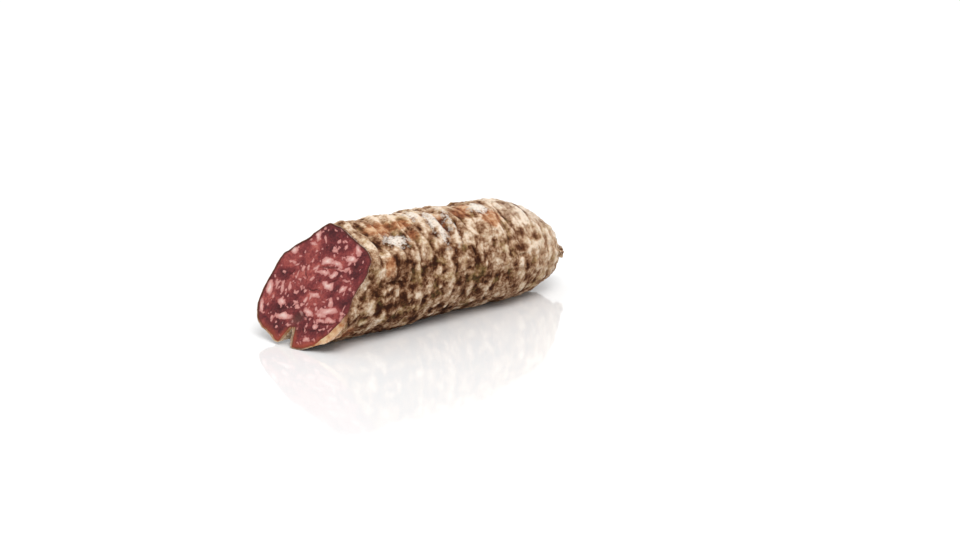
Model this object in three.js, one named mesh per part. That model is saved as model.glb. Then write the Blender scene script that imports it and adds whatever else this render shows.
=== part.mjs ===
// A dry-cured sausage in its natural casing, lying on its side, with one end sliced off at a slant.
// The other end is the closed end of the casing: it narrows, droops towards the board and is drawn
// together in pleats to a dry twist. A crease runs along the underside, where the casing has folded
// into the shrinking meat, and beside the cut the casing has come loose and stands away a little.
//
// Frame: +X from the cut towards the twist, +Z up, z = 0 the board that the sausage lies on,
// x = y = 0 the middle of its outline seen from above. Sizes are in millimetres, angles in degrees,
// counted round the axis from the -Y side (0) over the top (90) to the underside (-90).
import * as THREE from "three";

// Whole sausage
const radius = 30; // mean outer radius of the body
const bodyLength = 107; // from the middle of the cut to where the closed end begins to narrow
const taperLength = 71; // from there to the neck of the twist
const taperPower = 3.1; // how long the closed end stays full before it narrows
const droop = 11.5; // how far the tip of the twist hangs below the body's axis
const bow = 1.5; // how far the axis wanders towards +Y at the tip
const settle = 0.8; // how deep the underside is pressed flat where it lies

// Slanted cut: millimetres that it runs back for each millimetre up, and for each towards -Y
const cutLeanUp = 0.59;
const cutLeanSide = 0.28;
const leanFade = 75; // length over which the rings of the mesh turn upright behind the cut

// Casing, and the clearance that keeps it clear of the meat
const wall = 1.0;
const bond = 0.3;

// Crease along the underside, deepest at the cut
const creaseAngle = -93;
const creaseDepth = 10;
const creaseSpread = 5.4; // half its width, in degrees
const creaseLength = 80;

// Loose casing beside the cut
const peelAngle = -36;
const peelSpread = 17;
const peelLift = 3.6;
const peelLength = 13;

// Twist, and the pleats that run into it
const neckRadius = 3;
const twistBulge = 0.9; // how much thicker the twist is halfway along
const twistLength = 5;
const pleatCount = 7;
const pleatDepth = 0.6;
const pleatReach = 34; // length of the pleats, back from the neck
const meatSetback = 8; // the meat's last ring stays this far short of the neck
const meatNose = 6; // and the point it ends in is this far beyond that ring

// Outline of the body at the cut: [angle, millimetres outside or inside the mean radius]
const cutOutline = [
  [-165, 0.2], [-148, 2.0], [-126, -0.8], [-107, -1.0], [-93, 0.4], [-75, 1.2], [-56, 0.6],
  [-38, 0.2], [-20, -1.0], [0, -2.6], [15, 0.0], [29, 3.4], [44, 0.4], [60, -1.6], [76, -0.8],
  [90, 0.9], [105, 0.8], [122, -1.4], [138, -1.5], [152, 0.4], [170, -1.0],
];
const outlineFade = 85; // length over which that outline gives way to a rounder one

// Shallow lumps all over: [depth, waves round, waves per 100 mm along, turn in degrees]
const lumps = [
  [0.55, 2, 1.1, 40],
  [0.45, 3, -1.7, 200],
  [0.35, 1, 4.3, 110],
  [0.25, 5, 2.6, 310],
];

// Mesh steps
const creaseReach = 15; // degrees each side of the crease that have the fine steps
const creaseSteps = 16;
const roundSteps = 40;
const bodyStep = 6.2;
const taperStep = 5.4;
const peelSteps = 4;
const twistSteps = 4;
const normalStep = 0.5; // degrees each side over which the outline's slope is measured

const neckStation = bodyLength + taperLength;
const tipStation = neckStation + twistLength;
const lastMeatStation = neckStation - meatSetback;
const axisHeight = radius - settle;
const radians = THREE.MathUtils.degToRad;
const smooth = (value) => THREE.MathUtils.smoothstep(value, 0, 1);
const turned = (angle, from) => THREE.MathUtils.euclideanModulo(angle - from, 360);

// A bell of height 1 at the centre angle, at 1/e of it one spread away.
function bell(angle, centre, spread) {
  const away = turned(angle + 180, centre) - 180;
  return Math.exp(-((away / spread) ** 2));
}

// Height of the outline at an angle: a closed Catmull-Rom curve through the listed points.
function outlineOffset(angle) {
  const count = cutOutline.length;
  const point = (step) => cutOutline[(step + count) % count];
  const start = cutOutline.findIndex(
    ([from], i) => turned(angle, from) < turned(point(i + 1)[0], from),
  );
  const from = point(start)[0];
  const t = turned(angle, from) / turned(point(start + 1)[0], from);
  const [before, here, next, after] = [-1, 0, 1, 2].map((step) => point(start + step)[1]);
  const bend = t * (2 * before - 5 * here + 4 * next - after + t * (3 * (here - next) + after - before));
  return here + 0.5 * t * (next - before + bend);
}

function lumpHeight(station, angle) {
  return lumps.reduce((height, [depth, waves, wavesAlong, turn]) => {
    const phase = radians(waves * angle + turn + 3.6 * wavesAlong * station);
    return height + depth * Math.sin(phase);
  }, 0);
}

// Mean radius along the sausage: full body, narrowing end, then the short thick twist.
function meanRadius(station) {
  if (station > neckStation) {
    return neckRadius + twistBulge * Math.sin((Math.PI * (station - neckStation)) / twistLength);
  }
  const along = Math.max(0, station - bodyLength) / taperLength;
  return neckRadius + (radius - neckRadius) * (1 - along ** taperPower);
}

// Distance from the axis to the outside of the casing, as long as it is tight on the meat.
function skinRadius(station, angle) {
  const mean = meanRadius(station);
  const fullness = Math.min(1, mean / radius) ** 2;
  const nearCut = 1 - smooth(station / outlineFade);
  const nearNeck = smooth((station - neckStation + pleatReach) / pleatReach);
  const creaseLeft = Math.max(0, 1 - station / creaseLength) ** 1.5;
  return mean
    + nearCut * outlineOffset(angle)
    + fullness * lumpHeight(station, angle)
    + nearNeck * pleatDepth * Math.cos(radians(pleatCount * angle))
    - creaseLeft * creaseDepth * bell(angle, creaseAngle, creaseSpread);
}

// How far the axis has sunk at a station, and how far it has wandered sideways.
const sinkAt = (station) => droop * (Math.max(0, station - bodyLength) / (tipStation - bodyLength)) ** 2;
const bowAt = (station) => bow * (station / tipStation) ** 2;

// The outline across the axis at a station: to the side and up, pressed flat on the board.
function outlinePoint(station, angle, isLoose) {
  const lift = isLoose ? peelLift * Math.max(0, 1 - station / peelLength) ** 2 : 0;
  const r = skinRadius(station, angle) + lift * bell(angle, peelAngle, peelSpread);
  const side = r * Math.cos(radians(angle));
  const up = r * Math.sin(radians(angle)) - sinkAt(station);
  return new THREE.Vector2(side, Math.max(0, axisHeight + up));
}

// Point at a depth squarely under that outline. The first ring of each surface lies in the cut.
function pointAt(station, angle, depth, isLoose) {
  const before = outlinePoint(station, angle - normalStep, isLoose);
  const after = outlinePoint(station, angle + normalStep, isLoose);
  const along = after.sub(before).normalize();
  const at = outlinePoint(station, angle, isLoose).add({ x: -depth * along.y, y: depth * along.x });
  at.y = Math.max(depth, at.y);
  const lean = 1 - smooth(station / leanFade);
  const x = station + lean * (cutLeanSide * at.x + cutLeanUp * (at.y - axisHeight));
  return new THREE.Vector3(x, bowAt(station) - at.x, at.y);
}

const axisPoint = (station) =>
  new THREE.Vector3(station, bowAt(station), axisHeight - sinkAt(station));

// Angles round the sausage, close together across the crease.
const creaseAngles = Array.from({ length: creaseSteps }, (_, i) =>
  creaseAngle + creaseReach * ((2 * i) / creaseSteps - 1));
const roundAngles = Array.from({ length: roundSteps }, (_, i) =>
  creaseAngle + creaseReach + ((360 - 2 * creaseReach) * i) / roundSteps);
const angles = [...creaseAngles, ...roundAngles];

// Evenly spaced stations from one place to another, the last one left out.
function stationsBetween(from, to, step) {
  const count = Math.max(1, Math.round((to - from) / step));
  return Array.from({ length: count }, (_, i) => from + ((to - from) * i) / count);
}

const filledStations = [
  ...stationsBetween(0, peelLength, peelLength / peelSteps),
  ...stationsBetween(peelLength, bodyLength, bodyStep),
  ...stationsBetween(bodyLength, lastMeatStation, taperStep),
  lastMeatStation,
];
const twistStations = [
  ...stationsBetween(lastMeatStation, neckStation, meatSetback / twistSteps).slice(1),
  ...stationsBetween(neckStation, tipStation, twistLength / twistSteps),
];

const ringsAt = (stations, depth, isLoose) =>
  stations.map((station) => angles.map((angle) => pointAt(station, angle, depth, isLoose)));

// Collects triangles between rings of points into one closed surface.
class ClosedSurface {
  positions = [];
  triangles = [];

  addPoint(point) {
    this.positions.push(point.x, point.y, point.z);
    return this.positions.length / 3 - 1;
  }

  addRings(rings) {
    return rings.map((ring) => ring.map((point) => this.addPoint(point)));
  }

  // Faces between two rings, looking away from the axis where the second lies further along +X,
  // or else towards it. Either way each four-sided gap is split along the same diagonal, so that
  // surfaces which follow each other keep their distance.
  band(first, second, looksOut = true) {
    first.forEach((a, i) => {
      const j = (i + 1) % first.length;
      const faces = [[a, second[i], second[j]], [a, second[j], first[j]]];
      faces.forEach((face) => this.triangles.push(...(looksOut ? face : face.reverse())));
    });
  }

  // Faces from a ring to one point further along +X, looking away from the axis or towards it.
  point(ring, tip, looksOut = true) {
    ring.forEach((a, i) => {
      const face = [tip, ring[(i + 1) % ring.length], a];
      this.triangles.push(...(looksOut ? face : face.reverse()));
    });
  }

  // A flat lid over a ring, looking towards -X.
  lid(ring) {
    const outline = ring.map((i) =>
      new THREE.Vector2(-this.positions[3 * i + 1], this.positions[3 * i + 2]));
    THREE.ShapeUtils.triangulateShape(outline, []).forEach((face) =>
      this.triangles.push(...face.map((corner) => ring[corner])));
  }

  geometry() {
    const made = new THREE.BufferGeometry();
    made.setAttribute("position", new THREE.Float32BufferAttribute(this.positions, 3));
    made.setIndex(this.triangles);
    made.computeVertexNormals();
    return made;
  }
}

// The meat: ground lean and fat bound into one mass, flat at the cut.
function meatGeometry() {
  const surface = new ClosedSurface();
  const rings = surface.addRings(ringsAt(filledStations, wall + bond, false));
  surface.lid(rings[0]);
  rings.slice(1).forEach((ring, i) => surface.band(rings[i], ring));
  surface.point(rings.at(-1), surface.addPoint(axisPoint(lastMeatStation + meatNose - 2 * bond)));
  return surface.geometry();
}

// The casing: a thin bag round the meat, open at the cut and solid in the twist.
function casingGeometry() {
  const surface = new ClosedSurface();
  const outer = surface.addRings(ringsAt([...filledStations, ...twistStations], 0, true));
  const inner = surface.addRings(ringsAt(filledStations, wall, true));
  surface.band(inner[0], outer[0]);
  outer.slice(1).forEach((ring, i) => surface.band(outer[i], ring));
  surface.point(outer.at(-1), surface.addPoint(axisPoint(tipStation)));
  inner.slice(1).forEach((ring, i) => surface.band(inner[i], ring, false));
  surface.point(inner.at(-1), surface.addPoint(axisPoint(lastMeatStation + meatNose)), false);
  return surface.geometry();
}

function mesh(name, geometry, color, roughness) {
  const material = new THREE.MeshStandardMaterial({ color, roughness, metalness: 0 });
  const made = new THREE.Mesh(geometry, material);
  made.name = name;
  return made;
}

const sausage = new THREE.Group();
sausage.add(mesh("meat_filling", meatGeometry(), 0x93404a, 0.45));
sausage.add(mesh("casing", casingGeometry(), 0xa08d78, 0.85));

// Bring the middle of the outline over the origin.
const middle = new THREE.Box3().setFromObject(sausage).getCenter(new THREE.Vector3());
sausage.position.set(-middle.x, -middle.y, 0);

export default sausage;
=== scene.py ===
import math

import bpy
import numpy as np
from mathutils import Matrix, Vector, noise
from mathutils.bvhtree import BVHTree


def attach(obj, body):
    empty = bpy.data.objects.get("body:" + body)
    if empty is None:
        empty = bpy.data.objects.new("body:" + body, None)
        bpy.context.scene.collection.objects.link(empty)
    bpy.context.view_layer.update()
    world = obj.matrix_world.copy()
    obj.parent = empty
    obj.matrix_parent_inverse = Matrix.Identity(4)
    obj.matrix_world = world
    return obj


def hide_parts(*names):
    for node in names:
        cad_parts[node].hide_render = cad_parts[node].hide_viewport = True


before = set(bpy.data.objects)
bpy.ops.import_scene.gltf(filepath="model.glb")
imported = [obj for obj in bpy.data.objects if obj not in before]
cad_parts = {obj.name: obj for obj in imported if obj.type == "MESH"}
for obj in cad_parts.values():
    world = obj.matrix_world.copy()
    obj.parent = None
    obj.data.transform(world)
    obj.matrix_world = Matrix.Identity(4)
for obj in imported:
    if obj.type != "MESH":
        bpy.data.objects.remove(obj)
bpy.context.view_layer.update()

# ---- Casing ---------------------------------------------------------------------------------
# The casing is a length of natural gut, filled, tied off and dried for weeks, so that it has
# shrunk into wrinkles round the meat and grown a dry bloom of mould. It is one skin: open where
# the sausage was sliced, folded in along the underside, and drawn into pleats at the closed end.

MM = 0.001
axis_height = 29.2  # mm over the board, where the sausage is full
full_length = 107.0  # mm from the cut to where the closed end begins to narrow
lean_fade = 75.0  # mm behind the cut over which the rings of the mesh turn upright
skin_wall = 0.6  # mm of casing over the meat
cad_gap = 1.3  # mm from the meat to the outside of the casing in the CAD model
crease_angle, crease_reach = -93.0, 15.0  # degrees round the axis, 0 at the -Y side, 90 on top
crease_columns, round_columns = 50, 250
row_spacing, even_rows_end = 0.75, 150.0  # mm, and how far from the cut the rows are even
end_rows, twist_rows = 56, 16  # rows from there to the twist, and along it
twist_length, last_row = 5.0, 0.25  # mm of twist at the tip, and how near to the tip the rows go
facet_rows, facet_columns = 2.5, 1.5  # how far each ray's result is averaged, to lose the facets

# The slanted cut is read off the lid of the meat.
lid = [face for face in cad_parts["meat_filling"].data.polygons if face.normal.x < -0.7]
cut_normal = sum((face.area * face.normal for face in lid), Vector()).normalized()
lean_side = cut_normal.y / cut_normal.x
lean_up = -cut_normal.z / cut_normal.x
lid_centre = lid[0].center / MM
cut_x = lid_centre.x + lean_side * lid_centre.y - lean_up * (lid_centre.z - axis_height)
tip = max((v.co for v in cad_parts["casing"].data.vertices), key=lambda co: co.x) / MM
tip_station = tip.x - cut_x


def smooth_step(low, high, value):
    t = np.clip((value - low) / (high - low), 0, 1)
    return t * t * (3 - 2 * t)


def axis_at(station):
    """Middle of the sausage at a station, in mm along it from the cut."""
    drop = np.maximum(0, station - full_length) / (tip_station - full_length)
    height = axis_height - (axis_height - tip.z) * drop**2
    return np.stack([cut_x + station, tip.y * (station / tip_station) ** 2, height], -1)


def across(station, angle):
    """Direction away from the axis. Near the cut it lies in the slanted plane."""
    side, up = np.cos(np.radians(angle)), np.sin(np.radians(angle))
    lean = 1 - smooth_step(0, lean_fade, station)
    return np.stack([lean * (lean_side * side + lean_up * up), -side, up], -1)


def radii_of(node, stations, angles):
    """How far the outside of a CAD node is from the axis, in mm, for each station and angle.
    The rays stay just inside both ends, because on the ends themselves they can slip past."""
    tree = BVHTree.FromObject(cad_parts[node], bpy.context.evaluated_depsgraph_get())
    start_distance, first, last = 60.0, 0.5, tip_station - 0.6
    found = np.zeros((len(stations), len(angles)))
    for row, station in enumerate(np.clip(stations, first, last)):
        middle = axis_at(station)
        for column, angle in enumerate(angles):
            way = across(station, angle)
            start = Vector((middle + start_distance * way) * MM)
            hit = tree.ray_cast(start, -Vector(way))[0]
            if hit is not None:
                offset = np.array(hit) / MM - middle
                found[row, column] = math.hypot(offset[1], offset[2])
    return found


def softened(grid, rows, columns):
    """The grid averaged over its neighbours, with a spread counted in rows and in columns."""
    for axis, spread in ((0, rows), (1, columns)):
        reach = int(3 * spread)
        weights = np.exp(-0.5 * (np.arange(-reach, reach + 1) / spread) ** 2)
        edges = ((reach, reach), (0, 0)) if axis == 0 else ((0, 0), (reach, reach))
        padded = np.pad(grid, edges, mode="edge" if axis == 0 else "wrap")
        size = grid.shape[axis]
        grid = sum(
            weight * np.take(padded, range(i, i + size), axis)
            for i, weight in enumerate(weights / weights.sum())
        )
    return grid


def waves(points, size, seed):
    """Smooth heights of about -1 to 1 over points in mm, as wide as the size along each axis."""
    shift = Vector((17.3, 5.1, 9.7)) * seed
    flat = (points / np.array(size)).reshape(-1, 3)
    heights = np.array([noise.noise(Vector(point) + shift) for point in flat])
    return 1.9 * heights.reshape(points.shape[:-1])


def blots(across_mm, up_mm, marks):
    """How deep each place lies inside the nearest of some oval marks, in mm, negative outside.
    A mark is [place, place, half length, half width, turn in degrees]."""
    depth = np.full(np.shape(across_mm), -50.0)
    for x, y, half_length, half_width, turn in marks:
        c, s = math.cos(math.radians(turn)), math.sin(math.radians(turn))
        u = (across_mm - x) * c + (up_mm - y) * s
        v = (up_mm - y) * c - (across_mm - x) * s
        away = np.hypot(u / half_length, v / half_width)
        depth = np.maximum(depth, (1 - away) * min(half_length, half_width))
    return depth


crease_angles = crease_angle + crease_reach * np.linspace(-1, 1, crease_columns, endpoint=False)
round_angles = crease_angle + crease_reach + np.linspace(
    0, 360 - 2 * crease_reach, round_columns, endpoint=False
)
angles = np.concatenate([crease_angles, round_angles])
neck_station = tip_station - twist_length
stations = np.concatenate([
    np.arange(0, even_rows_end, row_spacing),
    np.linspace(even_rows_end, neck_station, end_rows, endpoint=False),
    np.linspace(neck_station, tip_station - last_row, twist_rows),
])
tight = softened(radii_of("casing", stations, angles), facet_rows, facet_columns)
station_grid, angle_grid = np.meshgrid(stations, angles, indexing="ij")


def places(station, angle, radii):
    """Points at those distances from the axis, in mm."""
    return axis_at(station) + radii[..., None] * across(station, angle)


# Relief of the dried skin. Places on it are unrolled: mm along from the cut, mm round at the
# mean radius. Ring wrinkles are deepest over the top, and the mould is lumpiest low down.
round_radius = 30.0
ring_wrinkle_depth, fine_wrinkle_depth = 0.85, 0.40
lump_depth, pebble_depth, grain_depth = 0.40, 0.30, 0.12
ridge_height, groove_depth, crack_depth = 1.1, 1.0, 1.1
pleats, pleat_depth, pleat_reach = 13, 0.9, 32.0

skin_points = places(station_grid, angle_grid, tight)
along = skin_points[..., 0] - cut_x
wrapped = (angle_grid + 180) % 360 - 180
around = np.radians(wrapped) * round_radius
on_top = np.exp(-(((wrapped - 68) / 50) ** 2))


def on_skin(marks):
    """How deep each place of the skin lies inside some marks, in mm. A mark is
    [mm along, degrees round, half length, half width, turn in degrees]."""
    unrolled = [[mark[0], math.radians(mark[1]) * round_radius, *mark[2:]] for mark in marks]
    return blots(along, around, unrolled)


raised_rings = [
    [22.5, 45, 2.0, 15.0, 0], [54.5, 56, 1.2, 8.0, 5], [62.5, 73, 1.3, 8.0, 6],
    [71.0, 60, 1.5, 13.0, 2], [79.0, 52, 1.2, 9.0, -6], [86.0, 50, 1.3, 10.0, 4],
]
sunken_rings = [
    [26.0, 48, 0.9, 10.0, 0], [32.0, 40, 1.0, 6.0, 18], [50.0, 62, 1.0, 7.0, 0],
    [66.5, 52, 1.2, 9.0, 5], [75.0, 58, 1.4, 10.0, 3], [82.5, 50, 0.9, 9.0, -4],
]
cracks = [
    [32.5, 5, 6.8, 0.8, -8], [88.0, 16, 1.2, 6.5, 25], [122.0, 5, 4.0, 1.3, 10],
]
ridge = smooth_step(-0.3, 1.0, on_skin(raised_rings))
groove = smooth_step(-0.3, 0.8, on_skin(sunken_rings))
crack = smooth_step(-0.3, 0.5, on_skin(cracks))
ring_wrinkles = waves(skin_points, (4.6, 24, 24), 1)
fine_wrinkles = waves(skin_points, (2.1, 11, 11), 2)
lumps = waves(skin_points, (9, 9, 9), 3)
pebbles = waves(skin_points, (2.7, 2.7, 2.7), 4)
grains = waves(skin_points, (1.5, 1.5, 1.5), 5)
near_neck = smooth_step(neck_station - pleat_reach, neck_station, station_grid)
pleating = np.cos(np.radians(pleats * angle_grid) + 1.8 * waves(skin_points, (40, 9, 9), 6))
strength = 0.4 + 0.6 * on_top
behind_knife = 0.3 + 0.7 * smooth_step(0, 4, station_grid)
wrinkling = ring_wrinkle_depth * ring_wrinkles + fine_wrinkle_depth * fine_wrinkles
roughness = pebble_depth * pebbles + grain_depth * grains
weathering = (
    strength * wrinkling + lump_depth * lumps + behind_knife * (1.2 - 0.5 * on_top) * roughness
    - crack_depth * crack
)
swell = (
    0.9 * np.exp(-(((along - 84) / 9) ** 2)) + 1.7 * np.exp(-(((along - 104) / 7) ** 2))
    - 0.9 * np.exp(-(((along - 129) / 10) ** 2))
)
relief = weathering + ridge_height * ridge - groove_depth * groove + on_top * swell
in_crease = np.exp(-(((angle_grid - crease_angle + 180) % 360 - 180) / 9) ** 2)
relief = relief * (1 - in_crease * smooth_step(90, 60, station_grid)) * np.minimum(1, tight / 14)
relief = relief + near_neck * pleat_depth * pleating * np.minimum(1, tight / 8)
outer = tight + relief

# The inside of the casing lies on the meat. Beside the cut, low on the near side, the casing has
# come loose, and there the meat keeps its distance. Few rows are enough where nothing is seen.
hidden_row_step, close_rows = 8, 12
loose_share = 1.35  # how much of the looseness goes into the thickness of the casing's rim
meat_rows = np.count_nonzero(stations < neck_station - 10)
meat_radii = radii_of("meat_filling", stations[:meat_rows], angles)
meat_radii = softened(meat_radii, facet_rows, facet_columns)
gap = tight[:meat_rows] - meat_radii
lifted = smooth_step(1.7, 3.0, gap) * (gap - cad_gap)
under = {}
for i in [i for i in range(meat_rows) if i < close_rows or i % hidden_row_step == 0]:
    reach = min(i, 1) if i < hidden_row_step else hidden_row_step
    lowest = outer[max(0, i - reach):i + reach + 1].min(axis=0)
    under[i] = lowest - skin_wall - loose_share * lifted[i]


class Rings:
    """Rings of points, one after another, joined into a closed skin with a point at each end."""

    def __init__(self, first_point):
        self.points, self.faces, self.fields = [first_point], [], []
        self.ring = None

    def add(self, ring, **fields):
        start, count = len(self.points), len(ring)
        self.points.extend(ring)
        self.fields.append((start, count, fields))
        following = [(i + 1) % count for i in range(count)]
        if self.ring is None:
            self.faces += [(0, start + i, start + following[i]) for i in range(count)]
        else:
            last = self.ring
            self.faces += [
                (last + i, start + i, start + following[i], last + following[i])
                for i in range(count)
            ]
        self.ring, self.count = start, count

    def finish(self, name, last_point):
        end, last, count = len(self.points), self.ring, self.count
        self.points.append(last_point)
        self.faces += [(last + i, end, last + (i + 1) % count) for i in range(count)]
        mesh = bpy.data.meshes.new(name)
        mesh.from_pydata([tuple(MM * np.array(p)) for p in self.points], [], self.faces)
        mesh.polygons.foreach_set("use_smooth", [True] * len(mesh.polygons))
        for field in sorted({key for row in self.fields for key in row[2]}):
            values = np.zeros(len(self.points), np.float32)
            for start, size, fields in self.fields:
                if field in fields:
                    values[start:start + size] = fields[field]
            mesh.attributes.new(field, "FLOAT", "POINT").data.foreach_set("value", values)
        made = bpy.data.objects.new(name, mesh)
        bpy.context.scene.collection.objects.link(made)
        return made


# Patches where the mould has rubbed off, where it is thick and white, where it is merely paler,
# and where the gut shows through dark.
bare_marks = [
    [3.0, -46, 8.5, 7.0, 10], [28.0, 165, 6.0, 8.0, 0], [29.5, 22, 4.0, 4.5, 0],
    [37.0, 70, 8.0, 6.0, 10], [50.0, 68, 6.0, 3.5, 0], [52.0, 50, 2.4, 3.0, 0],
    [60.0, 150, 10.0, 6.0, 30], [74.5, 63, 2.8, 6.5, 5], [90.0, -150, 9.0, 5.0, 10],
    [91.0, 66, 5.0, 4.0, -30], [96.0, 76, 4.0, 5.0, -20], [109.0, 53, 8.5, 6.0, 25],
    [118.0, 128, 8.0, 5.0, -20],
]
bloom_marks = [
    [40.5, 48, 5.6, 4.2, -20], [45.0, 120, 9.0, 5.0, -20], [61.0, 76, 2.5, 3.5, 0],
    [66.0, -168, 4.5, 3.0, 0], [69.0, 64, 2.2, 7.0, -4], [70.5, 46, 2.4, 6.0, -8],
    [80.0, 58, 1.2, 6.0, -6], [104.0, 146, 5.0, 8.0, 10], [105.0, 68, 5.5, 4.5, 0],
    [150.0, 100, 7.0, 5.0, 0],
]
pale_marks = [
    [8.0, -42, 6.0, 6.0, 0], [9.0, -10, 3.5, 5.0, 0], [21.5, 42, 1.3, 6.0, 0], [24.0, -38, 3.0, 4.0, 0],
    [26.5, -25, 1.6, 4.0, 0], [27.0, 80, 5.0, 8.0, 0], [29.0, 34, 3.0, 3.0, 0], [35.0, -5, 2.6, 2.6, 0],
    [38.0, -48, 6.0, 4.0, 0], [38.0, 92, 12.0, 5.0, 0], [39.0, -32, 2.4, 6.0, 0],
    [48.0, 81, 7.0, 4.0, 0], [56.0, 42, 2.0, 5.0, -10], [59.0, 30, 2.5, 3.5, 0],
    [62.0, 10, 2.0, 2.0, 20], [64.0, 38, 3.5, 5.0, 0], [66.0, -19, 4.0, 3.5, 0],
    [83.0, 80, 9.0, 8.0, 0], [88.0, 42, 5.0, 4.5, 15], [95.0, 38, 3.0, 4.0, 0], [96.0, 24, 5.0, 3.0, 0],
    [97.0, 5, 3.5, 4.0, 0], [103.0, 1, 4.0, 3.0, 0], [114.0, 3, 4.0, 3.0, 0], [116.0, 18, 3.0, 2.4, 0],
    [121.0, 76, 8.0, 5.0, 0], [134.0, 16, 8.0, 3.0, 0], [144.0, 3, 9.0, 6.0, 0],
]
dark_marks = [
    [12.0, -20, 2.2, 4.5, 0], [16.0, 54, 2.6, 9.0, 0], [19.0, 36, 1.4, 4.0, 0], [19.5, -4, 3.0, 5.0, 0],
    [22.5, -20, 2.4, 4.5, 0], [22.5, 56, 2.0, 6.0, 0], [25.5, 63, 1.1, 4.5, 0], [27.0, -9, 2.0, 3.0, 0],
    [30.5, -22, 3.2, 6.0, 0], [32.0, -36, 2.4, 4.0, 0], [32.5, 54, 1.6, 5.0, 0],
    [33.0, 5, 6.0, 1.8, -8], [35.0, 28, 2.4, 2.4, 0], [38.5, -12, 2.4, 3.5, 0], [44.0, 20, 3.4, 2.4, 0],
    [45.5, 70, 1.4, 5.0, 0], [46.0, -6, 2.6, 3.0, 0], [46.0, 1, 3.5, 5.0, 0], [46.0, 48, 2.0, 5.0, 0],
    [51.0, 12, 2.0, 2.0, 0], [52.0, -3, 3.4, 6.0, 0], [55.0, -22, 2.2, 3.4, 0], [59.5, 58, 1.4, 4.0, 0],
    [61.0, 18, 2.0, 2.0, 0], [66.0, -32, 3.0, 4.0, 0], [66.0, 0, 3.5, 5.0, 0], [67.0, 25, 4.0, 4.5, 0],
    [74.0, 61, 2.2, 6.0, 5], [76.0, 43, 2.0, 5.0, 0], [77.0, 56, 1.6, 6.0, 5],
    [78.0, 25, 4.0, 3.0, -20], [80.5, 70, 1.2, 6.0, 5], [81.0, 41, 1.8, 4.0, -10],
    [83.0, -8, 4.0, 3.0, 0], [84.0, 60, 1.3, 6.0, 0], [87.0, 14, 2.2, 6.5, 25], [91.0, 0, 2.8, 4.5, 0],
    [101.0, 24, 3.0, 2.4, 0], [102.5, 14, 2.6, 3.0, 0], [102.5, 37, 2.2, 3.0, 0],
    [103.0, 80, 2.0, 3.0, 0], [104.0, 38, 5.0, 5.0, 0], [107.0, 8, 2.6, 2.4, 0],
    [109.0, 33, 3.0, 3.0, 0], [112.0, 26, 3.4, 2.2, 0], [114.0, 44, 2.0, 4.0, 20],
    [116.0, 9, 3.0, 2.6, 0], [121.0, 12, 2.4, 2.4, 0], [126.0, -6, 2.6, 4.5, 20],
    [127.0, 32, 3.0, 3.0, 0], [137.0, 24, 4.0, 2.6, 0], [147.0, 44, 6.0, 3.5, 0],
]
bare = on_skin(bare_marks) / 3.0
bloom = on_skin(bloom_marks) / 3.0
far = smooth_step(95, 150, along)
streaks = waves(skin_points, (2.6, 18, 18), 21)
# Tone of the skin: the pale and dark patches, the streaks and the paler far end are its own colour.
# Lighter over the top is painted light, and darker on the underside is painted shade.
tone = (
    0.8 * smooth_step(-1.5, 1.5, on_skin(pale_marks))
    - 1.2 * smooth_step(-1.5, 1.5, on_skin(dark_marks))
    + 0.35 * far + 0.35 * on_top - 0.5 * smooth_step(0.35, -0.75, np.sin(np.radians(wrapped)))
    + streaks * (0.15 + 0.7 * on_top + 0.3 * far)
)
# Painted light: the mouth of the crease near the cut is made paler, against the shade that falls in it.
crease_mouth_painted_light = in_crease * smooth_step(30, 8, station_grid)
tone = tone + 2.0 * crease_mouth_painted_light
ash = smooth_step(100, 162, along) * smooth_step(20, 70, wrapped) * smooth_step(165, 105, wrapped)
# Height of the relief, used for the colour. It is partly the bloom that sits on the crests and partly
# painted shade in the wrinkle valleys and sunken rings.
height = np.clip((weathering + 0.15 * ridge - 0.85 * groove) / 0.9, -1.2, 1.2)
evenness = np.clip(0.05 + 0.3 * far + 0.15 * on_top, 0, 0.5)

casing_rings = Rings(axis_at(stations[max(under)] + 4))
for i in sorted(under, reverse=True)[:-1]:
    casing_rings.add(places(stations[i], angles, under[i]), inside=1.0)
rim_steps = 7
rim_angles = (angles + 180) % 360 - 180
peel = np.maximum(
    np.exp(-(((rim_angles + 43) / 23) ** 4)), 0.6 * np.exp(-(((rim_angles + 110) / 35) ** 4))
)
for step in range(rim_steps + 1):
    share = step / rim_steps
    edge = under[0] + (outer[0] - under[0]) * share
    dish = math.sin(math.pi * share) * 0.25 * (outer[0] - under[0])
    ring = places(stations[0], angles, edge) - dish[:, None] * np.array(cut_normal)
    casing_rings.add(ring, inside=1.0 - 0.8 * share**3, height=height[0], peel=peel)
for i in range(1, len(stations)):
    casing_rings.add(
        places(stations[i], angles, outer[i]),
        height=height[i], bare=bare[i], bloom=bloom[i], tone=tone[i],
        evenness=evenness[i], ash=ash[i],
    )
casing = casing_rings.finish("gut_casing", tip)
skin_places = np.array([v.co for v in casing.data.vertices])
skin_places[:, 2] = np.maximum(skin_places[:, 2], 0)  # nothing sinks into the board
casing.data.vertices.foreach_set("co", skin_places.ravel())


lamp_share = 0.66  # colours are lowered to it, because lamp and sky together exceed plain white


def shade(red, green, blue):
    """A colour from the 0 to 255 values that it should show in full light."""
    return (*(lamp_share * ((v / 255 + 0.055) / 1.055) ** 2.4 for v in (red, green, blue)), 1.0)


def put(tree, kind, *inputs, **settings):
    """Adds a node, gives it its settings, and links or sets its inputs in order or by name."""
    made = tree.nodes.new("ShaderNode" + kind)
    named = settings.pop("named", {})
    for key, value in settings.items():
        setattr(made, key, value)
    for key, value in [*enumerate(inputs), *named.items()]:
        if isinstance(value, bpy.types.NodeSocket):
            tree.links.new(value, made.inputs[key])
        else:
            made.inputs[key].default_value = value
    return made


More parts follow.
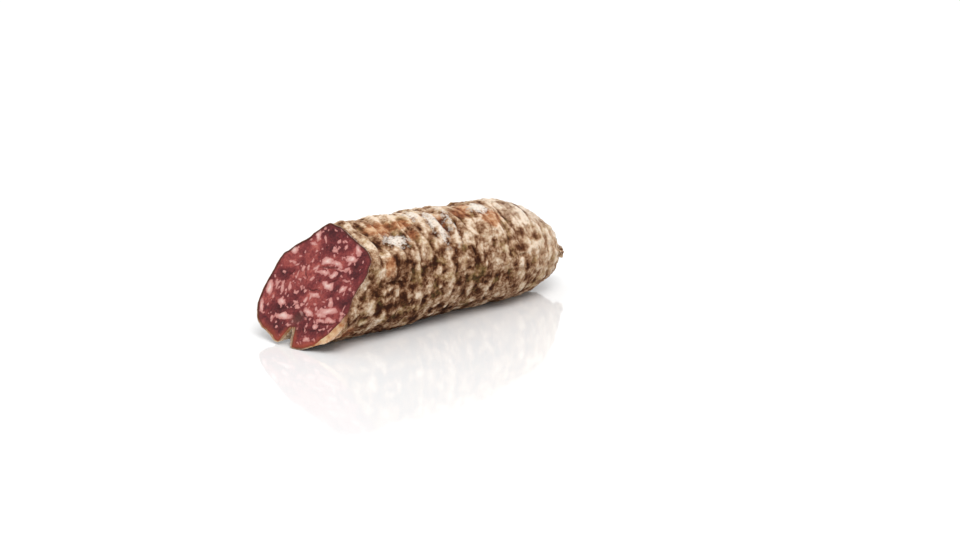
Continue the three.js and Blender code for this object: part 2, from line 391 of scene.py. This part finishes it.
def ramp(tree, value, stops):
    """Colours laid out along a value from 0 to 1."""
    made = put(tree, "ValToRGB", value)
    elements = made.color_ramp.elements
    while len(elements) < len(stops):
        elements.new(0.5)
    for element, (place, colour) in zip(elements, stops):
        element.position, element.color = place, colour
    return made.outputs[0]


def blend(tree, mask, under_colour, over_colour):
    """One colour over another, as far as the mask says."""
    inputs = {0: mask, 6: under_colour, 7: over_colour}
    return put(tree, "Mix", data_type="RGBA", named=inputs).outputs[2]


def sums(tree, operation, *values):
    """The result of a Math node."""
    return put(tree, "Math", *values, operation=operation).outputs[0]


def field(tree, name):
    """A value that the mesh carries at each point."""
    return put(tree, "Attribute", attribute_name=name).outputs["Fac"]


def speckle(tree, coordinates, size_mm, detail=3.0, grit=0.62):
    """Noise of about 0 to 1 with spots of that size."""
    made = put(tree, "TexNoise", coordinates,
               named={"Scale": 1 / (size_mm * MM), "Detail": detail, "Roughness": grit})
    return made.outputs["Fac"]


# Frayed edge: turns a depth inside a mark into a mask with a ragged outline.
frayed = bpy.data.node_groups.new("frayed_edge", "ShaderNodeTree")
for name, usual in (("Depth", 0.0), ("Scale", 500.0), ("Fray", 1.0), ("Softness", 0.15)):
    socket = frayed.interface.new_socket(name, in_out="INPUT", socket_type="NodeSocketFloat")
    socket.default_value = usual
frayed.interface.new_socket("Mask", in_out="OUTPUT", socket_type="NodeSocketFloat")
entry = frayed.nodes.new("NodeGroupInput")
place = put(frayed, "TexCoord").outputs["Object"]
rough_edge = put(frayed, "TexNoise", place,
                 named={"Scale": entry.outputs["Scale"], "Detail": 3.0, "Roughness": 0.65})
shifted = sums(frayed, "SUBTRACT", rough_edge.outputs["Fac"], 0.5)
moved = sums(frayed, "MULTIPLY_ADD", shifted, entry.outputs["Fray"], entry.outputs["Depth"])
below = sums(frayed, "MULTIPLY", entry.outputs["Softness"], -1.0)
mask = put(frayed, "MapRange", moved, interpolation_type="SMOOTHSTEP",
           named={"From Min": below, "From Max": entry.outputs["Softness"]}).outputs[0]
frayed.links.new(mask, frayed.nodes.new("NodeGroupOutput").inputs["Mask"])


def fray(tree, depth, size_mm, amount, softness):
    """A frayed mask, ragged by up to half the amount, with frays of that size."""
    made = put(tree, "Group", node_tree=frayed)
    for key, value in (("Scale", 1 / (size_mm * MM)), ("Fray", amount), ("Softness", softness)):
        made.inputs[key].default_value = value
    tree.links.new(depth, made.inputs["Depth"])
    return made.outputs["Mask"]


def new_material(name):
    made = bpy.data.materials.new(name)
    made.use_nodes = True
    return made, made.node_tree, made.node_tree.nodes["Principled BSDF"]


mould, tree, surface = new_material("mould_on_gut")
here = put(tree, "TexCoord").outputs["Object"]
fine = speckle(tree, here, 1.7, 4.0, 0.68)
middle = speckle(tree, here, 5.5, 4.0)
broad = speckle(tree, here, 16.0)
value = sums(tree, "MULTIPLY_ADD", middle, 2.7, sums(tree, "MULTIPLY_ADD", fine, 1.1, -1.42))
value = sums(tree, "MULTIPLY_ADD", broad, 0.5, sums(tree, "SUBTRACT", value, 0.25))
mid_tone = 0.5  # even parts of the skin stay nearer to it
away = sums(tree, "MULTIPLY", sums(tree, "SUBTRACT", value, mid_tone), field(tree, "evenness"))
value = sums(tree, "SUBTRACT", value, away)
# Painted shade: the height darkens the wrinkle valleys and sunken rings, and the crests turn lighter
# with the bloom on them.
value = sums(tree, "MULTIPLY_ADD", field(tree, "height"), 0.30, value)
value = sums(tree, "MULTIPLY_ADD", field(tree, "tone"), 0.24, value)
colour = ramp(tree, value, [
    (0.0, shade(57, 26, 10)), (0.2, shade(99, 58, 33)), (0.42, shade(152, 112, 83)),
    (0.65, shade(200, 166, 134)), (0.95, shade(248, 226, 202)),
])
flakes = fray(tree, sums(tree, "SUBTRACT", speckle(tree, here, 1.6, 2.0), 0.58), 0.6, 0.15, 0.05)
where_pale = put(tree, "MapRange", value,
                 named={"From Min": 0.3, "From Max": 0.7, "To Max": 0.2}).outputs[0]
colour = blend(tree, sums(tree, "MULTIPLY", flakes, where_pale), colour, shade(236, 212, 184))
olive = fray(tree, sums(tree, "SUBTRACT", speckle(tree, here, 9.0), 0.60), 2.0, 0.2, 0.08)
colour = blend(tree, sums(tree, "MULTIPLY", olive, 0.2), colour, shade(206, 182, 112))
ashy_colour = ramp(tree, value, [
    (0.0, shade(92, 66, 52)), (0.35, shade(150, 127, 112)), (0.62, shade(207, 191, 175)),
    (0.95, shade(246, 236, 224)),
])
colour = blend(tree, sums(tree, "MULTIPLY", field(tree, "ash"), 0.65), colour, ashy_colour)
bare_mask = fray(tree, field(tree, "bare"), 3.0, 2.6, 0.45)
bare_colour = ramp(tree, value, [
    (0.0, shade(98, 46, 22)), (0.35, shade(152, 88, 50)), (0.6, shade(188, 126, 82)),
    (0.95, shade(228, 182, 140)),
])
colour = blend(tree, sums(tree, "MULTIPLY", bare_mask, 0.85), colour, bare_colour)
bloom_mask = fray(tree, field(tree, "bloom"), 2.2, 4.5, 0.6)
powder = put(tree, "MapRange", fine,
             named={"From Min": 0.35, "From Max": 0.55, "To Min": 0.55, "To Max": 1.0})
bloom_mask = sums(tree, "MULTIPLY", bloom_mask, powder.outputs[0])
colour = blend(tree, bloom_mask, colour, shade(253, 242, 229))
spots = fray(tree, sums(tree, "SUBTRACT", speckle(tree, here, 2.2, 2.0), 0.62), 0.8, 0.12, 0.09)
spots = sums(tree, "MULTIPLY", spots, sums(tree, "MULTIPLY_ADD", bloom_mask, 0.3, 0.25))
colour = blend(tree, spots, colour, shade(74, 44, 28))
lifted_colour = ramp(tree, middle, [(0.38, shade(196, 122, 66)), (0.62, shade(242, 210, 168))])
rim_colour = blend(tree, field(tree, "peel"), shade(96, 50, 38), lifted_colour)
colour = blend(tree, field(tree, "inside"), colour, rim_colour)
tree.links.new(colour, surface.inputs["Base Color"])
gloss = sums(tree, "MULTIPLY_ADD", bare_mask, -0.3, 0.88)
tree.links.new(gloss, surface.inputs["Roughness"])
bumps = sums(tree, "MULTIPLY_ADD", fine, 0.6, speckle(tree, here, 0.55))
dents = put(tree, "Bump", named={"Strength": 0.7, "Distance": 0.35 * MM, "Height": bumps})
tree.links.new(dents.outputs[0], surface.inputs["Normal"])
surface.inputs["Specular IOR Level"].default_value = 0.12
surface.inputs["Subsurface Weight"].default_value = 0.08
surface.inputs["Subsurface Radius"].default_value = (0.0012, 0.0006, 0.0004)
surface.inputs["Subsurface Scale"].default_value = 1.0
casing.data.materials.append(mould)
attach(casing, "root")
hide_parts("casing")

# ---- Meat -----------------------------------------------------------------------------------
# The filling is coarsely ground lean pork and firm back fat, salted, pressed into the casing and
# dried until it has bound into one piece. The knife has left it flat and slightly moist, with
# the grains of fat cut through in every size.

cut_rings = 92
clearance = 0.04  # mm between the meat and the inside of the casing

# Marks on the cut, as seen from in front: [mm to the right, mm up, half length, half width, turn]
fat_grains = [
    [-9.2, 24.0, 3.6, 1.5, -65], [-3.5, 22.5, 2.2, 0.7, -60], [19.0, 20.5, 3.8, 1.4, -50],
    [-9.5, 19.6, 2.2, 0.8, 0], [5.5, 18.0, 1.7, 0.8, 0], [-20.0, 15.6, 3.4, 1.4, -28],
    [17.5, 15.5, 4.0, 1.6, 5], [-25.0, 14.0, 1.6, 0.9, 30], [3.5, 13.0, 3.2, 1.6, 10],
    [10.0, 12.4, 4.2, 1.2, -12], [15.0, 10.2, 5.2, 0.5, 3], [-19.0, 10.0, 2.2, 0.7, 0],
    [-1.5, 9.6, 2.2, 1.0, 30], [-9.5, 7.5, 1.8, 0.9, -60], [4.0, 7.2, 4.2, 1.1, -5],
    [10.5, 7.0, 2.8, 1.4, 30], [20.0, 5.4, 2.0, 0.6, 0], [9.5, 1.8, 4.2, 1.6, -15],
    [19.5, 1.8, 2.4, 1.6, 20], [-13.0, -1.4, 2.3, 0.8, -60], [-22.0, -2.0, 2.4, 0.8, -60],
    [-18.0, -2.5, 2.8, 1.0, -60], [4.5, -3.6, 3.9, 1.1, -3], [-25.5, -4.2, 4.0, 1.9, -58],
    [16.0, -5.5, 2.6, 1.0, -60], [0.0, -6.5, 1.3, 1.0, 0], [-5.5, -8.3, 1.8, 0.8, 0],
    [-14.0, -9.2, 3.0, 1.5, -12], [17.0, -9.5, 5.6, 1.5, 6], [13.5, -11.5, 3.6, 1.0, -5],
    [5.2, -11.6, 4.0, 1.5, -20], [26.3, -12.3, 2.6, 1.0, -50], [-26.0, -13.0, 4.2, 1.4, -58],
    [20.5, -13.0, 3.6, 1.1, -8], [15.0, -14.2, 3.4, 0.8, 0], [-9.5, -15.7, 5.8, 1.5, 4],
    [12.6, -17.3, 1.7, 1.3, 0], [-3.5, -19.7, 1.8, 0.8, 0], [11.0, -23.8, 2.2, 1.0, 0],
]
small_grain_count, scatter_radius = 240, 29
rng = np.random.default_rng(7)
for _ in range(small_grain_count):
    reach, turn = scatter_radius * math.sqrt(rng.random()), rng.uniform(0, 2 * math.pi)
    length = rng.uniform(0.35, 1.3)
    fat_grains.append([
        reach * math.cos(turn), reach * math.sin(turn), length,
        length * rng.uniform(0.3, 0.8), rng.normal(-20, 40),
    ])
bright_lean = [
    [-9, 4, 9, 6, 20], [5, -6, 7, 5, 0], [-20, 12, 7, 5, 10], [6, 11, 9, 5, 10],
    [18, -11, 8, 3.5, 5], [-24, -6, 4, 7, -20], [8, -1, 6, 5, 0], [-8, 15, 4, 7, 20],
    [18, 19, 3, 4, -40], [-27, 7, 3, 4, 0], [-5, -15, 3, 2, 0],
]
dark_lean = [
    [1, 26, 8, 3.5, -10], [9, -18, 7, 3.5, 10], [-12, -12, 8, 2.5, 0], [24, 12, 4, 6, 0],
    [-19, 3, 4, 3, 0], [12, 8, 3, 2, 0], [26, -4, 3, 7, 0], [-17, 22, 4, 1.5, 35],
    [5, 20, 4, 3, 0], [-10, -21, 6, 3, 0], [-18, -13, 4, 3, 0], [14, 0, 2, 4, -30],
]
slits = [
    [6.0, 10.1, 4.6, 0.5, 0], [4.5, -14.2, 3.6, 0.5, -25], [-12.0, -12.4, 3.0, 0.4, 10],
    [19.0, -15.4, 5.0, 0.5, 12], [-6.0, 5.0, 2.2, 0.35, -50], [12.5, 4.4, 2.6, 0.4, 25],
    [2.0, -1.2, 3.0, 0.35, 0], [-16.0, 4.0, 2.6, 0.4, 60], [20.5, 12.0, 3.0, 0.4, 0],
]
# A hollow on the cut, sunk into the meat and painted dark as shade.
hollow = [[-0.4, -15.4, 3.4, 2.4, 30]]

meat_rings = Rings(axis_at(0.0))
meat_edge = under[0] - clearance
outline_steps = 8  # points of the outline for each column of the mesh
turns = np.arange(len(angles) * outline_steps) / outline_steps
outline_side, outline_up = (
    np.interp(turns, range(len(angles)), meat_edge * part(np.radians(angles)), period=len(angles))
    for part in (np.cos, np.sin)
)
for ring_number in range(1, cut_rings + 1):
    radii = meat_edge * ring_number / cut_rings
    side = radii * np.cos(np.radians(angles))
    up = radii * np.sin(np.radians(angles))
    flat = np.stack([side, up, np.zeros_like(side)], -1)
    side_bent = side + 0.5 * waves(flat, (5, 5, 5), 11) + 0.4 * waves(flat, (1.8, 1.8, 1), 12)
    up_bent = up + 0.5 * waves(flat, (5, 5, 5), 13) + 0.4 * waves(flat, (1.8, 1.8, 1), 14)
    fat = blots(side_bent, up_bent, fat_grains)
    lean_tone = (
        0.8 * smooth_step(-2, 2, blots(side_bent, up_bent, bright_lean))
        - 0.8 * smooth_step(-2, 2, blots(side_bent, up_bent, dark_lean))
        + 0.4 * waves(flat, (6, 3.5, 5), 15)
    )
    slit = smooth_step(-0.35, 0.3, blots(side_bent, up_bent, slits))
    edge = np.hypot(side[:, None] - outline_side, up[:, None] - outline_up).min(axis=1)
    sunk = smooth_step(-1.5, 1.5, blots(side, up, hollow))
    lift = 0.12 * smooth_step(0, 0.8, fat) + 0.10 * waves(flat, (2.2, 2.2, 1), 16)
    lift = lift - 0.5 * slit - 1.4 * sunk - 0.25 * smooth_step(1.2, 0.0, edge)
    ring = places(0.0, angles, radii) + lift[:, None] * np.array(cut_normal)
    rust = smooth_step(-18, -24, up) * smooth_step(3.5, 0.5, edge)
    meat_rings.add(ring, fat=fat, lean=lean_tone, edge=edge, hollow=sunk, rust=rust, slit=slit)
for i in sorted(under)[1:]:
    meat_rings.add(places(stations[i], angles, under[i] - clearance), fat=-1.0, lean=-0.3)
meat = meat_rings.finish("cured_meat", axis_at(stations[max(under)] + 2))

ground, tree, surface = new_material("ground_meat_and_fat")
here = put(tree, "TexCoord").outputs["Object"]
fibre = speckle(tree, here, 1.1, 4.0)
chunk = speckle(tree, here, 4.0, 2.0)
lean_value = sums(tree, "MULTIPLY_ADD", fibre, 0.8, -0.25)
lean_value = sums(tree, "MULTIPLY_ADD", field(tree, "lean"), 0.26, lean_value)
lean_value = sums(tree, "MULTIPLY_ADD", chunk, 0.5, lean_value)
lean_colour = ramp(tree, lean_value, [
    (0.1, shade(74, 18, 24)), (0.4, shade(126, 46, 48)), (0.65, shade(168, 78, 72)),
    (0.9, shade(206, 122, 108)),
])
fat_mask = fray(tree, field(tree, "fat"), 0.9, 0.9, 0.15)
fat_depth = sums(tree, "MULTIPLY_ADD", field(tree, "fat"), 0.35, sums(tree, "MULTIPLY", fibre, 0.5))
fat_colour = ramp(tree, fat_depth, [
    (0.1, shade(182, 100, 94)), (0.45, shade(220, 158, 150)), (0.85, shade(252, 224, 214)),
])
colour = blend(tree, fat_mask, lean_colour, fat_colour)
dry_edge = put(tree, "MapRange", field(tree, "edge"), interpolation_type="SMOOTHSTEP",
               named={"From Min": 1.6, "From Max": 0.0, "To Max": 0.6}).outputs[0]
colour = blend(tree, dry_edge, colour, shade(92, 34, 30))
colour = blend(tree, sums(tree, "MULTIPLY", field(tree, "slit"), 0.75), colour, shade(86, 24, 26))
colour = blend(tree, sums(tree, "MULTIPLY", field(tree, "rust"), 0.4), colour, shade(196, 92, 54))
# Painted shade in the sunken hollow.
colour = blend(tree, sums(tree, "MULTIPLY", field(tree, "hollow"), 0.6), colour, shade(74, 56, 48))
tree.links.new(colour, surface.inputs["Base Color"])
tree.links.new(sums(tree, "MULTIPLY_ADD", fibre, 0.3, 0.32), surface.inputs["Roughness"])
bumps = sums(tree, "MULTIPLY_ADD", fat_mask, 0.35, fibre)
dents = put(tree, "Bump", named={"Strength": 0.5, "Distance": 0.3 * MM, "Height": bumps})
tree.links.new(dents.outputs[0], surface.inputs["Normal"])
surface.inputs["Specular IOR Level"].default_value = 0.22
surface.inputs["Subsurface Weight"].default_value = 0.15
surface.inputs["Subsurface Radius"].default_value = (0.002, 0.0008, 0.0006)
surface.inputs["Subsurface Scale"].default_value = 1.0
meat.data.materials.append(ground)
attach(meat, "root")
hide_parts("meat_filling")

# ---- Table, light and view ------------------------------------------------------------------
# The sausage lies on a plain white board that goes on past the view, under an even white sky and
# one broad, soft lamp high in front.

board_half = 8.0
board_mesh = bpy.data.meshes.new("board")
board_z = -0.0001
board_mesh.from_pydata([
    (-board_half, -board_half, board_z), (board_half, -board_half, board_z),
    (board_half, board_half, board_z), (-board_half, board_half, board_z),
], [], [(0, 1, 2, 3)])
board = bpy.data.objects.new("board", board_mesh)
bpy.context.scene.collection.objects.link(board)
white, tree, surface = new_material("white_board")
surface.inputs["Base Color"].default_value = (0.74, 0.74, 0.74, 1)
surface.inputs["Roughness"].default_value = 0.07
surface.inputs["Specular IOR Level"].default_value = 1.0
surface.inputs["IOR"].default_value = 1.62
board_mesh.materials.append(white)

world = bpy.data.worlds.new("even_sky")
world.use_nodes = True
world.node_tree.nodes["Background"].inputs["Color"].default_value = (1, 1, 1, 1)
world.node_tree.nodes["Background"].inputs["Strength"].default_value = 1.0
bpy.context.scene.world = world

lamp = bpy.data.lights.new("broad_lamp", "SUN")
lamp.energy = 2.2
lamp.angle = math.radians(40)
lamp_object = bpy.data.objects.new("broad_lamp", lamp)
lamp_object.rotation_euler = Vector((-0.15, -0.45, 0.88)).to_track_quat("Z", "Y").to_euler()
bpy.context.scene.collection.objects.link(lamp_object)

view_azimuth, view_elevation, view_distance = math.radians(-40.67), math.radians(15.09), 0.66
aim = Vector((0.0086, -0.0293, 0.0282))
back = Vector((
    math.sin(view_azimuth) * math.cos(view_elevation),
    -math.cos(view_azimuth) * math.cos(view_elevation),
    math.sin(view_elevation),
))
camera = bpy.data.objects.new("camera", bpy.data.cameras.new("camera"))
camera.data.lens = 45
camera.location = aim + view_distance * back
camera.rotation_euler = back.to_track_quat("Z", "Y").to_euler()
bpy.context.scene.collection.objects.link(camera)
bpy.context.scene.camera = camera
bpy.context.scene.view_settings.view_transform = "Standard"
